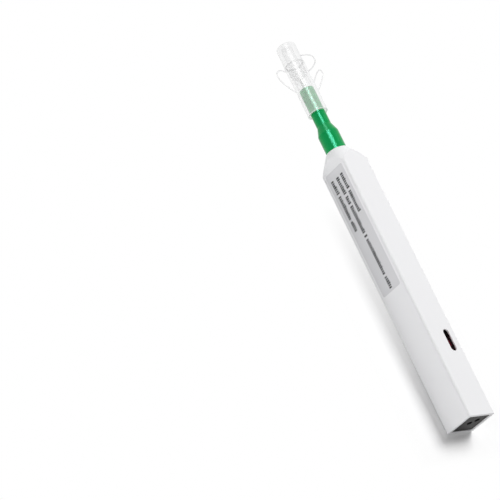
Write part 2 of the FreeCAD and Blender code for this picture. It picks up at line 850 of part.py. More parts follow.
def groove_cutter():
    """Helical slot that the rail's peg runs in."""
    overrun = 1.5 * peg_radius
    travel = stroke + 2 * overrun
    lead = 2 * stroke / half_turns
    mean = drum_radius - groove_depth / 2
    half_width = peg_radius + peg_side_gap
    helix = Part.makeHelix(lead, travel, mean)
    along = V(0, 2 * math.pi * mean, lead).normalize()
    outward = V(1, 0, 0)
    across = along.cross(outward)
    middle = V(mean, 0, 0)
    corners = []
    for out, over in ((-1, -1), (1, -1), (1, 1), (-1, 1)):
        depth = groove_depth / 2 if out < 0 else groove_depth
        corners.append(middle + outward * (out * depth) + across * (over * half_width))
    profile = Part.makePolygon(corners + corners[:1])
    slot = Part.Wire(helix.Edges).makePipeShell([profile], True, True)
    slot.rotate(V(0, 0, 0), V(0, 0, 1), -360 * overrun / lead)
    turn = FreeCAD.Rotation(V(0, 0, -1), V(0, -1, 0), V(-1, 0, 0), "ZXY")
    place = V(butt_x - peg_station + overrun, 0, axis_z)
    slot.transformShape(FreeCAD.Placement(place, turn).toMatrix())
    return slot


def make_spindle():
    """Turned shaft with the cam drum, bored for the thread and for the head's spring."""
    outline = [
        (spindle_rear, thread_bore), (spindle_rear, journal_radius),
        (drum_rear, journal_radius), (drum_rear, drum_radius),
        (drum_front, drum_radius), (drum_front, shaft_radius),
        (spindle_front, shaft_radius), (spindle_front, head_pocket),
        (pocket_rear, head_pocket), (pocket_rear, thread_bore),
    ]
    return turned(outline).cut(groove_cutter())


def make_head_retainer():
    return ring(retainer_rear, spindle_front, head_pocket, head_radius + running_gap)


def make_cleaning_head():
    """Rod with two flats, so that the thread can run up one side and down the other."""
    collar = rod(head_collar_rear, head_collar_front, head_collar)
    shank = rod(head_collar_rear, head_end - tape_thickness - tape_gap, head_radius)
    body = joined(collar, shank)
    for sign in (-1, 1):
        near = min(sign * head_flat, sign * 2)
        far = max(sign * head_flat, sign * 2)
        half = tape_width / 2 + seat_gap
        slot = block(head_collar_rear - 1, head_end + 1, near, far, axis_z - half, axis_z + half)
        body = body.cut(slot)
    return body


def make_tip_thread():
    """Thread along both sides of the head and over its end."""
    inner = head_flat + tape_gap
    outer = inner + tape_thickness
    low = axis_z - tape_width / 2
    rear = pocket_rear + rest_gap
    whole = block(rear, head_end, -outer, outer, low, low + tape_width)
    core = block(rear - 1, head_end - tape_thickness, -inner, inner, low - 1, low + tape_width + 1)
    return whole.cut(core)


def make_tip_spring():
    mean = head_pocket - running_gap - tip_wire
    return coil(pocket_rear + rest_gap, head_collar_rear - rest_gap, mean, tip_wire, tip_turns)


# Guide cap and lid

def make_guide_cap():
    """Frosted sleeve over the stem, with a web that centres a ferrule on the tip."""
    grip = stem_radius + running_gap
    outline = [
        (cap_rear, cap_mouth), (cap_rear, cap_radius),
        (cap_front, cap_radius), (cap_front, socket_radius),
        (web_front, socket_radius), (web_front, guide_hole),
        (web_rear, guide_hole), (web_rear, grip),
        (cap_rear + cap_mouth_length, grip),
    ]
    return round_rims(turned(outline), cap_round, [(cap_front, cap_radius), (cap_rear, cap_radius)])


def make_lid():
    """Hollow lid with a plug that fits the cap's socket."""
    plug = socket_radius - running_gap
    room = plug - lid_wall
    outline = [
        (plug_end, room), (plug_end, plug),
        (cap_front, plug), (cap_front, lid_radius),
        (overall_length, lid_radius), (overall_length, 0),
        (overall_length - lid_front, 0), (overall_length - lid_front, room),
    ]
    return round_rims(turned(outline), lid_round, [(overall_length, lid_radius)])


def make_loop(feet, corners, sign):
    """Loop that stands out from the cap on one diagonal of the section."""
    ends = []
    for behind in feet:
        wall = cap_radius if behind > 0 else lid_radius
        ends.append((behind, wall - loop_sink))
    points = []
    for behind, reach in [ends[0], *corners, ends[1]]:
        side = sign * reach / math.sqrt(2)
        points.append(V(butt_x - cap_front + behind, side, axis_z + side))
    return strand(points, loop_radius).cut(cap_outside())


def cap_outside():
    """The cap's and lid's outer form, to trim what stands on them."""
    outline = [(cap_rear, 0), (cap_rear, cap_radius), (cap_front, cap_radius),
               (cap_front, lid_radius), (overall_length, lid_radius), (overall_length, 0)]
    return turned(outline)


def main():
    os.makedirs("parts", exist_ok=True)
    chassis = make_chassis()
    pieces = {
        "shell": make_shell(),
        "butt_cap": make_butt_cap(),
        "label": make_label(),
        "drive_rail": make_drive_rail(),
        "return_spring": make_return_spring(),
        "chassis_base": chassis_half_tray(chassis, -chassis_half),
        "chassis_cover": chassis_half_tray(chassis, chassis_half),
        "chassis_screws": Part.makeCompound(make_screws(screw_recess)),
        "take_up_axle": make_axle(take_up_station),
        "supply_axle": make_axle(supply_station),
        "click_pawl": make_click_pawl(),
        "supply_brake": make_brake(),
        "spindle_bearing": make_spindle_bearing(),
        "nozzle": make_nozzle(),
        "guide_pipe": make_guide_pipe(),
        "supply_strand": make_supply_strand(),
        "take_up_strand": make_take_up_strand(),
        "drive_pinion": make_drive_pinion(),
        "take_up_reel": make_take_up_reel(),
        "take_up_thread": make_roll(take_up_station, take_up_roll),
        "supply_reel": make_supply_reel(),
        "supply_thread": make_roll(supply_station, supply_roll),
        "spindle": make_spindle(),
        "head_retainer": make_head_retainer(),
        "tip_spring": make_tip_spring(),
        "cleaning_head": make_cleaning_head(),
        "tip_thread": make_tip_thread(),
        "guide_cap": make_guide_cap(),
        "cap_lower_loop": make_loop(lower_loop_feet, lower_loop_corners, -1),
        "cap_upper_loop": make_loop(upper_loop_feet, upper_loop_corners, 1),
        "cap_lid": make_lid(),
        "lid_tether": make_loop(tether_feet, tether_corners, 1),
    }
    for name, shape in pieces.items():
        shape.exportStep("parts/" + name + ".step")
        print(name, "solids", len(shape.Solids), "valid", shape.isValid(), round(shape.Volume, 2))


main()
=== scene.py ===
"""A fibre connector cleaning pen: its finishes, label print and springs, in a pale studio."""

import math

import bmesh
import bpy
from bpy.props import FloatProperty, FloatVectorProperty, IntProperty, PointerProperty
from mathutils import Matrix, Vector


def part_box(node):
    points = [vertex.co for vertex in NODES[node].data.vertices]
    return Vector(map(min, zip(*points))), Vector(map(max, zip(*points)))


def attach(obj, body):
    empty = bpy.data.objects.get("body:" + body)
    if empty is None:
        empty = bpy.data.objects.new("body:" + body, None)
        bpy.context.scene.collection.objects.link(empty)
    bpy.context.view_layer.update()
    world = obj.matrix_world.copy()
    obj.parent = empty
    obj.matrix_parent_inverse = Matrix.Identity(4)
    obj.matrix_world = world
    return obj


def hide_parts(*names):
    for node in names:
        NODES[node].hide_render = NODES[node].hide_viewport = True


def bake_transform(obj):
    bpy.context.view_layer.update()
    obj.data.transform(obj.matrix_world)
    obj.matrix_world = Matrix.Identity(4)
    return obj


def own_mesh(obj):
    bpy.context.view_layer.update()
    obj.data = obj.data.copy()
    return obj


bl_info = {
    "name": "Fibre cleaning pen",
    "version": (1, 0, 0),
    "blender": (4, 5, 0),
    "location": "3D View > Sidebar > Cleaning pen",
    "description": "Dresses the cleaning pen's solids and sets up its studio",
    "category": "Object",
}

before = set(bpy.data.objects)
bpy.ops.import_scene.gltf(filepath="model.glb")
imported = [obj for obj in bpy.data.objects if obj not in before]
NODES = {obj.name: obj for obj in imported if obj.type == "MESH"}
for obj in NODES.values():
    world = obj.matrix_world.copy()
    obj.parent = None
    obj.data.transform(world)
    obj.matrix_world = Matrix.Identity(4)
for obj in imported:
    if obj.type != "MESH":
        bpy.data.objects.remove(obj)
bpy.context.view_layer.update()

MM = 0.001
SHELL_LOW, SHELL_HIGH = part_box("shell")
PEN_AXIS_Z = (SHELL_LOW.z + SHELL_HIGH.z) / 2
LABEL_FACE_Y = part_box("label")[0].y
CAP_LOW, CAP_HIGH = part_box("guide_cap")

# Rows of print: start along X and foot above the floor, both in mm, number of marks, seed
PRINT_ROWS = ((-30.4, 11.75, 20, 12), (-30.1, 8.2, 57, 21), (-30.4, 4.1, 26, 9))

# Share of the marks that are kept, the smallest one's share of the full size, and what is
# added to a row's seed for the heights
MARKS_KEPT = 0.88
SMALLEST_MARK = 0.68
HEIGHT_SEED_STEP = 7.0

# Springs: steps of a turn, sides of the wire, and how far each is pressed
COIL_STEPS = 40
COIL_SIDES = 10
PUSH_TRAVEL = 10 * MM
PRESS_TRAVEL = 1 * MM

# Frosted pieces: the share of a tube's radius where its outer face begins, how much of its
# shade is left out of the shadow it casts, and the depth and strength of the cap's two ends
RIM_SHARE = 0.96
SHADOW_THINNING = 0.9
MOUTH_DEPTH, MOUTH_MILK = 0.6 * MM, 0.6
SEAM_DEPTH, SEAM_SMOKE = 0.5 * MM, 0.25

# As many see-through faces as a ray may cross
CLEAR_FACES_CROSSED = 32

WHITE = (1, 1, 1, 1)
FLOOR_COLOUR = (0.98, 0.98, 0.982)
FLOOR_DROP = 0.1 * MM

# Painted light: white on the floor paints the pen's real shadow out between these distances from
# the shell, and along X at the tip; behind the butt it fades over a distance shorter by the last
# factor
PAINTED_FADE_START, PAINTED_FADE_END = 0.004, 0.028
TIP_PAINTED_FADE_START, TIP_PAINTED_FADE_END = 0.095, -0.02
PAINTED_FADE_SOONER_BEHIND = 1.7

# Where the lamps are aimed
UNDER_PEN = (0, 0, 0)
UNDER_NOZZLE = (-0.07, 0, 0)

CAMERA_PLACE = (0.44072, -0.85588, 0.71496)
CAMERA_RIGHT = Vector((0.3911, 0.7329, 0.5567))
CAMERA_BACK = Vector((0.3824, -0.6796, 0.6260))
CAMERA_SENSOR = 36.0
CAMERA_CLIP = (0.05, 20.0)


def colour_property(name, default, description):
    return FloatVectorProperty(name=name, description=description, default=default, size=3,
                               subtype="COLOR", min=0, max=1)


def length_property(name, default, description):
    return FloatProperty(name=name, description=description, default=default, min=0,
                         unit="LENGTH", precision=5)


def share_property(name, default, description):
    return FloatProperty(name=name, description=description, default=default, min=0, max=1)


def watts_property(name, default, description):
    return FloatProperty(name=name, description=description, default=default, min=0)


def turns_property(name, default):
    return IntProperty(name=name, description="Turns of wire", default=default, min=1, max=40)


# Sizes and colours

class PenColours(bpy.types.PropertyGroup):
    """Colours of the pen's pieces."""
    shell: colour_property("Shell", (0.86, 0.86, 0.872), "White satin moulding of the shell")
    label: colour_property("Label", (0.68, 0.68, 0.697), "Pale grey film of the label")
    ink: colour_property("Ink", (0.012, 0.012, 0.014), "Print on the label")
    butt: colour_property("Butt cap", (0.012, 0.0116, 0.011), "Dark grey butt cap")
    nozzle: colour_property("Nozzle", (0.0005, 0.29, 0.062), "Green nozzle")
    pipe: colour_property("Pipe", (0.78, 0.78, 0.77), "White pipe at the nozzle's tip")
    cap: colour_property("Guide cap", (0.94, 0.945, 0.95), "Frosted guide cap and its lid")
    loops: colour_property("Loops", (0.70, 0.70, 0.71), "Clear loops on the guide cap")
    reel: colour_property("Reels", (0.6, 0.012, 0.07), "Deep red thread reels")
    # Near black; it makes the inside seen through the window dark
    chassis: colour_property("Chassis", (0.012, 0.012, 0.012), "Near black moulding of the core")
    works: colour_property("Works", (0.72, 0.72, 0.69), "Natural acetal of the works inside")
    thread: colour_property("Thread", (0.80, 0.80, 0.77), "Cleaning thread")
    felt: colour_property("Felt", (0.3, 0.3, 0.29), "Brake ring of the supply reel")
    spring: colour_property("Springs", (0.62, 0.62, 0.6), "Steel wire of both springs")
    pin: colour_property("Axles", (0.66, 0.66, 0.65), "Steel of the reels' axles")
    screw: colour_property("Screws", (0.52, 0.52, 0.5), "Steel of the chassis screws")


class PenSizes(bpy.types.PropertyGroup):
    """Sizes of the pieces made in this file, and how clear the frosted ones are."""
    glyph_pitch: length_property("Print pitch", 1.15 * MM, "From one print mark to the next")
    glyph_width: length_property("Print mark width", 1.0 * MM, "Widest print mark")
    glyph_height: length_property("Print mark height", 2.3 * MM, "Tallest print mark")
    glyph_proud: length_property("Print thickness", 0.02 * MM, "How far the ink stands up")
    return_wire: length_property("Return spring wire", 0.7 * MM, "Diameter of its wire")
    tip_wire: length_property("Tip spring wire", 0.24 * MM, "Diameter of its wire")
    return_turns: turns_property("Return spring turns", 6)
    tip_turns: turns_property("Tip spring turns", 6)
    cap_milk: share_property("Cap milkiness", 0.38, "0 is clear, 1 is solid")
    cap_smoke: share_property("Cap smokiness", 0.022, "Light lost at each face of a wall")
    far_milk: share_property("Milkiness of inner and far faces", 0.03, "0 is clear, 1 is solid")
    lid_milk: share_property("Lid milkiness", 0.24, "0 is clear, 1 is solid")
    lid_smoke: share_property("Lid smokiness", 0.03, "Light lost at each face of a wall")
    # Painted shade: clear walls seen edge on are darkened by this much, standing in for refraction
    edge_painted_shade: share_property("Edge smokiness", 0.12, "Light lost besides at a wall seen edge on")
    loop_milk: share_property("Loop milkiness", 0.3, "0 is clear, 1 is solid")
    loop_smoke: share_property("Loop smokiness", 0.08, "Light lost at each face of a loop")


class StudioSizes(bpy.types.PropertyGroup):
    """Size of the floor, strength of the sky and the lamps, and the camera's lens."""
    floor: length_property("Floor", 6.0, "Side of the square floor")
    sky: FloatProperty(name="Sky", description="Strength of the even light", default=0.3, min=0)
    key: watts_property("Key lamp", 50.0, "Watts of the lamp behind the pen")
    stripe: watts_property("Strip lamp", 20.0, "Watts of the narrow lamp overhead")
    cone: watts_property("Cone lamp", 13.0, "Watts of the lamp that the nozzle's cone mirrors")
    fill: watts_property("Fill lamp", 10.2, "Watts of the soft lamp beside the label")
    lens: FloatProperty(name="Lens", description="Focal length in millimetres", default=172.8,
                        min=10)


# Node and mesh helpers

class Graph:
    """Short calls to add and join the nodes of one tree."""

    def __init__(self, tree):
        self.tree = tree

    def node(self, kind, inputs=None, **settings):
        made = self.tree.nodes.new(kind)
        for name, value in settings.items():
            setattr(made, name, value)
        for socket, value in (inputs or {}).items():
            self.give(made.inputs[socket], value)
        return made

    def give(self, target, value):
        if isinstance(value, bpy.types.NodeSocket):
            self.tree.links.new(value, target)
        else:
            target.default_value = value

    def math(self, operation, *values):
        made = self.node("ShaderNodeMath", operation=operation)
        for index, value in enumerate(values):
            self.give(made.inputs[index], value)
        return made.outputs[0]

    def noise(self, vector, scale, detail=2.0, roughness=0.5):
        made = self.node("ShaderNodeTexNoise", {"Vector": vector, "Scale": scale,
                                                "Detail": detail, "Roughness": roughness})
        return made.outputs["Fac"]

    def ramp(self, value, start, end):
        """0 at start and 1 at end."""
        made = self.node("ShaderNodeMapRange", {"Value": value, "From Min": start,
                                                "From Max": end})
        return made.outputs["Result"]


def shader_group(name, inputs, outputs):
    """New shader group with named number sockets; returns its graph, inputs and outputs."""
    tree = bpy.data.node_groups.new(name, "ShaderNodeTree")
    for label, default in inputs.items():
        socket = tree.interface.new_socket(label, in_out="INPUT", socket_type="NodeSocketFloat")
        socket.default_value = default
    for label in outputs:
        tree.interface.new_socket(label, in_out="OUTPUT", socket_type="NodeSocketFloat")
    graph = Graph(tree)
    return graph, graph.node("NodeGroupInput").outputs, graph.node("NodeGroupOutput").inputs


def moulded_skin():
    """Fine grain of a moulded surface, with broad patches that shine a little differently."""
    graph, given, result = shader_group(
        "moulded_skin",
        {"Grain Scale": 2500.0, "Patch Scale": 60.0, "Roughness": 0.4, "Roughness Spread": 0.05,
         "Tone Spread": 0.02},
        ["Height", "Roughness", "Tone"])
    place = graph.node("ShaderNodeTexCoord").outputs["Object"]
    grain = graph.noise(place, given["Grain Scale"], 3.0, 0.6)
    patch = graph.noise(place, given["Patch Scale"])
    shift = graph.math("SUBTRACT", patch, 0.5)
    rough = graph.math("MULTIPLY_ADD", shift, given["Roughness Spread"], given["Roughness"])
    tone = graph.math("MULTIPLY_ADD", shift, given["Tone Spread"], 1.0)
    graph.give(result["Height"], grain)
    graph.give(result["Roughness"], rough)
    graph.give(result["Tone"], tone)
    return graph.tree


def drawn_metal():
    """Fine lines left by drawing or grinding along Y."""
    graph, given, result = shader_group(
        "drawn_metal", {"Line Scale": 4000.0, "Roughness": 0.3, "Roughness Spread": 0.15},
        ["Height", "Roughness"])
    place = graph.node("ShaderNodeTexCoord").outputs["Object"]
    stretched = graph.node("ShaderNodeVectorMath",
                           {0: place, 1: (1.0, 0.06, 1.0)}, operation="MULTIPLY").outputs[0]
    lines = graph.noise(stretched, given["Line Scale"])
    shift = graph.math("SUBTRACT", lines, 0.5)
    graph.give(result["Height"], lines)
    graph.give(result["Roughness"],
               graph.math("MULTIPLY_ADD", shift, given["Roughness Spread"], given["Roughness"]))
    return graph.tree


def fibre_lay():
    """Strands of a soft thread or felt: a fine tangle over a slow change of tone."""
    graph, given, result = shader_group(
        "fibre_lay", {"Strand Scale": 6000.0, "Tone Spread": 0.12}, ["Height", "Tone"])
    place = graph.node("ShaderNodeTexCoord").outputs["Object"]
    strands = graph.noise(place, given["Strand Scale"], 4.0, 0.7)
    shift = graph.math("SUBTRACT", strands, 0.5)
    graph.give(result["Height"], strands)
    graph.give(result["Tone"], graph.math("MULTIPLY_ADD", shift, given["Tone Spread"], 1.0))
    return graph.tree


def group_node(graph, name, maker, values):
    """A shared group placed in a material with its own values."""
    tree = bpy.data.node_groups.get(name) or maker()
    made = graph.node("ShaderNodeGroup", node_tree=tree)
    for socket, value in values.items():
        made.inputs[socket].default_value = value
    return made.outputs


def new_material(name, colour):
    """New material; returns it with its graph and its shader."""
    material = bpy.data.materials.new(name)
    material.use_nodes = True
    material.diffuse_color = (*colour, 1)
    return material, Graph(material.node_tree), material.node_tree.nodes["Principled BSDF"]


def toned(graph, colour, tone):
    """A colour that follows a slow change of tone."""
    mixed = graph.node("ShaderNodeVectorMath", {0: tuple(colour)}, operation="SCALE")
    graph.give(mixed.inputs["Scale"], tone)
    return mixed.outputs[0]


def bumped(graph, height, distance):
    """A normal that follows a height of up to this distance."""
    bump = graph.node("ShaderNodeBump", {"Strength": 1.0, "Distance": distance,
                                         "Height": height})
    return bump.outputs["Normal"]


def moulded(name, colour, roughness, grain=3e-6, grain_scale=2500.0, tone=0.02, sockets=None):
    """Moulded plastic. Sockets are the shader's own, set directly."""
    material, graph, shader = new_material(name, colour)
    skin = group_node(graph, "moulded_skin", moulded_skin,
                      {"Grain Scale": grain_scale, "Roughness": roughness,
                       "Roughness Spread": 0.06, "Tone Spread": tone})
    graph.give(shader.inputs["Base Color"], toned(graph, colour, skin["Tone"]))
    graph.give(shader.inputs["Roughness"], skin["Roughness"])
    graph.give(shader.inputs["Normal"], bumped(graph, skin["Height"], grain))
    for socket, value in (sockets or {}).items():
        shader.inputs[socket].default_value = value
    return material


def steel(name, colour, roughness):
    """Bare steel with fine drawn lines."""
    material, graph, shader = new_material(name, colour)
    lines = group_node(graph, "drawn_metal", drawn_metal, {"Roughness": roughness})
    shader.inputs["Base Color"].default_value = (*colour, 1)
    shader.inputs["Metallic"].default_value = 1.0
    graph.give(shader.inputs["Roughness"], lines["Roughness"])
    graph.give(shader.inputs["Normal"], bumped(graph, lines["Height"], 2e-6))
    return material


def fibrous(name, colour, strand_scale, depth):
    """Thread or felt with strands of a given scale and depth."""
    material, graph, shader = new_material(name, colour)
    lay = group_node(graph, "fibre_lay", fibre_lay, {"Strand Scale": strand_scale})
    graph.give(shader.inputs["Base Color"], toned(graph, colour, lay["Tone"]))
    shader.inputs["Roughness"].default_value = 0.9
    shader.inputs["Sheen Weight"].default_value = 0.4
    graph.give(shader.inputs["Normal"], bumped(graph, lay["Height"], depth))
    return material


def dress(material, *names):
    """Gives CAD nodes a material."""
    for name in names:
        NODES[name].data.materials.clear()
        NODES[name].data.materials.append(material)


def shape_tree(name, inputs):
    """New geometry tree with named inputs; returns its graph, inputs and the geometry output."""
    tree = bpy.data.node_groups.new(name, "GeometryNodeTree")
    for label, (kind, default) in inputs.items():
        socket = tree.interface.new_socket(label, in_out="INPUT", socket_type="NodeSocket" + kind)
        if default is not None:
            socket.default_value = default
    tree.interface.new_socket("Geometry", in_out="OUTPUT", socket_type="NodeSocketGeometry")
    graph = Graph(tree)
    return graph, graph.node("NodeGroupInput").outputs, graph.node("NodeGroupOutput").inputs[0]


def close_tree(graph, geometry, material, result):
    """Ends a geometry tree: real mesh, with its material."""
    real = graph.node("GeometryNodeRealizeInstances", {"Geometry": geometry}).outputs[0]
    painted = graph.node("GeometryNodeSetMaterial", {"Geometry": real, "Material": material})
    graph.give(result, painted.outputs[0])
    return graph.tree


def mark_share(graph, index, seed):
    """A random share of the full size for each mark of a row."""
    return graph.node("FunctionNodeRandomValue", {2: SMALLEST_MARK, 3: 1.0, "ID": index,
                                                  "Seed": seed}).outputs[1]


def print_row_tree():
    """One row of print: small plain bars of random width and height, with gaps between groups."""
    graph, given, result = shape_tree("print_row", {
        "Start": ("Vector", (0, 0, 0)), "Marks": ("Int", 20), "Pitch": ("Float", 0.001),
        "Width": ("Float", 0.0006), "Height": ("Float", 0.0018), "Depth": ("Float", 2e-5),
        "Seed": ("Int", 1), "Material": ("Material", None)})
    step = graph.node("ShaderNodeCombineXYZ", {"X": given["Pitch"]}).outputs[0]
    line = graph.node("GeometryNodeMeshLine", {"Count": given["Marks"],
                                               "Start Location": given["Start"],
                                               "Offset": step}, mode="OFFSET")
    index = graph.node("GeometryNodeInputIndex").outputs[0]
    kept = graph.node("FunctionNodeRandomValue", {"Probability": MARKS_KEPT,
                                                  "Seed": given["Seed"]}, data_type="BOOLEAN")
    width = mark_share(graph, index, given["Seed"])
    height = mark_share(graph, index, graph.math("ADD", given["Seed"], HEIGHT_SEED_STEP))
    bar = graph.node("GeometryNodeMeshCube", {"Size": (1, 1, 1)}).outputs[0]
    footed = graph.node("GeometryNodeTransform", {"Geometry": bar, "Translation": (0, 0, 0.5)})
    size = graph.node("ShaderNodeCombineXYZ", {
        "X": graph.math("MULTIPLY", given["Width"], width), "Y": given["Depth"],
        "Z": graph.math("MULTIPLY", given["Height"], height)}).outputs[0]
    bars = graph.node("GeometryNodeInstanceOnPoints", {
        "Points": line.outputs[0], "Selection": kept.outputs[3],
        "Instance": footed.outputs[0], "Scale": size})
    return close_tree(graph, bars.outputs[0], given["Material"], result)


def coil_tree():
    """Wire wound into a coil round the Z axis, then turned and put in its place."""
    graph, given, result = shape_tree("coil", {
        "Centre": ("Vector", (0, 0, 0)), "Turn": ("Vector", (0, 0, 0)), "Radius": ("Float", 0.004),
        "Length": ("Float", 0.01), "Wire": ("Float", 0.0003), "Turns": ("Float", 6.0),
        "Steps": ("Int", 40), "Sides": ("Int", 10), "Material": ("Material", None)})
    spiral = graph.node("GeometryNodeCurveSpiral", {
        "Resolution": given["Steps"], "Rotations": given["Turns"],
        "Start Radius": given["Radius"], "End Radius": given["Radius"],
        "Height": given["Length"]}).outputs[0]
    half = graph.math("MULTIPLY", given["Length"], -0.5)
    down = graph.node("ShaderNodeCombineXYZ", {"Z": half}).outputs[0]
    centred = graph.node("GeometryNodeTransform", {"Geometry": spiral, "Translation": down})
    placed = graph.node("GeometryNodeTransform", {
        "Geometry": centred.outputs[0], "Translation": given["Centre"],
        "Rotation": given["Turn"]})
    section = graph.node("GeometryNodeCurvePrimitiveCircle", {
        "Resolution": given["Sides"], "Radius": graph.math("MULTIPLY", given["Wire"], 0.5)})
    wire = graph.node("GeometryNodeCurveToMesh", {
        "Curve": placed.outputs[0], "Profile Curve": section.outputs[0], "Fill Caps": True})
    return close_tree(graph, wire.outputs[0], given["Material"], result)


def grown(name, tree, values):
    """Runs a geometry tree and returns its result as a plain mesh piece."""
    holder = bpy.data.objects.new(name + "_source", bpy.data.meshes.new(name + "_source"))
    bpy.context.scene.collection.objects.link(holder)
    modifier = holder.modifiers.new("shape", "NODES")
    modifier.node_group = tree
    for item in tree.interface.items_tree:
        if item.in_out == "INPUT" and item.name in values:
            modifier[item.identifier] = values[item.name]
    bpy.context.view_layer.update()
    evaluated = holder.evaluated_get(bpy.context.evaluated_depsgraph_get())
    mesh = bpy.data.meshes.new_from_object(evaluated)
    mesh.name = name
    bpy.data.objects.remove(holder)
    piece = bpy.data.objects.new(name, mesh)
    bpy.context.scene.collection.objects.link(piece)
    return piece


def merge_doubles(piece, distance=1e-6):
    """Joins the vertices that lie in one place."""
    mesh = bmesh.new()
    mesh.from_mesh(piece.data)
    bmesh.ops.remove_doubles(mesh, verts=mesh.verts, dist=distance)
    mesh.to_mesh(piece.data)
    mesh.free()


# Pieces

class PEN_OT_shell(bpy.types.Operator):
    """White shell, its label film and the dark butt cap"""
    bl_idname = "pen.shell"
    bl_label = "Shell and butt cap"

    def execute(self, context):
        colours = context.scene.pen_colours
        dull = {"Specular IOR Level": 0.2}
        film = {"Coat Weight": 0.3, "Coat Roughness": 0.25}
        dress(moulded("shell_white", colours.shell, 0.5, tone=0.012, sockets=dull), "shell")
        dress(moulded("label_film", colours.label, 0.32, grain=1.5e-6, grain_scale=5000.0,
                      tone=0.015, sockets=film), "label")
        dress(moulded("butt_grey", colours.butt, 0.5, grain=9e-6, grain_scale=3200.0,
                      tone=0.12, sockets=dull), "butt_cap")
        return {"FINISHED"}


class PEN_OT_print(bpy.types.Operator):
    """Three rows of plain print bars on the label"""
    bl_idname = "pen.print"
    bl_label = "Label print"

    def execute(self, context):
        colours = context.scene.pen_colours
        sizes = context.scene.pen_sizes
        ink = moulded("label_ink", colours.ink, 0.45, grain=1e-6, tone=0.1)
        tree = print_row_tree()
        depth = 2 * sizes.glyph_proud  # half of it lies inside the label
        for number, (start, foot, marks, seed) in enumerate(PRINT_ROWS, 1):
            row = grown(f"print_row_{number}", tree, {
                "Start": (start * MM, LABEL_FACE_Y, foot * MM), "Marks": marks,
                "Pitch": sizes.glyph_pitch, "Width": sizes.glyph_width,
                "Height": sizes.glyph_height, "Depth": depth, "Seed": seed, "Material": ink})
            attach(row, "shell_body")
        return {"FINISHED"}


class PEN_OT_nozzle(bpy.types.Operator):
    """Green nozzle and the pipe at its tip"""
    bl_idname = "pen.nozzle"
    bl_label = "Nozzle"

    def execute(self, context):
        colours = context.scene.pen_colours
        green_shine = {"Specular IOR Level": 0.35, "Specular Tint": (0.2, 1.0, 0.75, 1.0)}
        dress(moulded("nozzle_green", colours.nozzle, 0.2, grain=1e-8, tone=0.05,
                      sockets=green_shine), "nozzle")
        dress(moulded("pipe_white", colours.pipe, 0.2, grain=1e-6), "guide_pipe")
        return {"FINISHED"}


def tube_rim(node):
    """The distance from the pen's axis that only a tube's outer face lies beyond."""
    low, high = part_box(node)
    return RIM_SHARE * (high.y - low.y) / 2


def near_outer_face(graph, across, height, rim):
    """1 where the outer face of a tube is turned to the viewer, and 0 on its other faces."""
    rise = graph.math("SUBTRACT", height, PEN_AXIS_Z)
    radius = graph.math("SQRT", graph.math("MULTIPLY_ADD", across, across,
                                           graph.math("POWER", rise, 2.0)))
    behind = graph.node("ShaderNodeNewGeometry").outputs["Backfacing"]
    return graph.math("MULTIPLY", graph.math("GREATER_THAN", radius, rim),
                      graph.math("SUBTRACT", 1.0, behind))


def frosted(name, colour, milk, smoke, edge_painted_shade, rim=0.0, far_milk=0.0, ends=()):
    """Frosted clear plastic: a milky veil over clear stuff that takes a little light.

    Beyond the rim lies the outer face, which is veiled where it is turned to the viewer. The
    other faces have the far milk. Each end is (X, depth, extra milk, extra smoke), and the
    extra grows from nothing at that depth.
    """
    material, graph, shader = new_material(name, colour)
    skin = group_node(graph, "moulded_skin", moulded_skin,
                      {"Grain Scale": 3500.0, "Roughness": 0.3, "Roughness Spread": 0.08})
    graph.give(shader.inputs["Base Color"], toned(graph, colour, skin["Tone"]))
    graph.give(shader.inputs["Roughness"], skin["Roughness"])
    graph.give(shader.inputs["Normal"], bumped(graph, skin["Height"], 1e-6))
    shader.inputs["Specular IOR Level"].default_value = 1.0
    # Painted shade: what shows through a wall is darkened where the wall is seen edge on, standing
    # in for refraction
    facing = graph.node("ShaderNodeLayerWeight", {"Blend": 0.5}).outputs["Facing"]
    shade = graph.math("MULTIPLY_ADD", graph.math("POWER", facing, 2.0), edge_painted_shade, smoke)
    place = graph.node("ShaderNodeTexCoord").outputs["Object"]
    along, across, height = graph.node("ShaderNodeSeparateXYZ", {0: place}).outputs
    near_face = near_outer_face(graph, across, height, rim)
    veil = graph.math("MULTIPLY_ADD", near_face, milk - far_milk, far_milk)
    for end, depth, more_milk, more_smoke in ends:
        near = graph.ramp(along, end + depth, end)
        veil = graph.math("MULTIPLY_ADD", near, more_milk, veil)
        shade = graph.math("MULTIPLY_ADD", near, more_smoke, shade)
    shadow = graph.node("ShaderNodeLightPath").outputs["Is Shadow Ray"]
    thin = graph.math("MULTIPLY_ADD", shadow, -SHADOW_THINNING, 1.0)
    left = graph.math("SUBTRACT", 1.0, graph.math("MULTIPLY", shade, thin))
    tint = graph.node("ShaderNodeCombineXYZ", {0: left, 1: left, 2: left}).outputs[0]
    clear = graph.node("ShaderNodeBsdfTransparent", {"Color": tint}).outputs[0]
    both = graph.node("ShaderNodeMixShader", {0: graph.math("MULTIPLY", veil, thin), 1: clear,
                                              2: shader.outputs[0]}).outputs[0]
    graph.give(material.node_tree.nodes["Material Output"].inputs["Surface"], both)
    return material


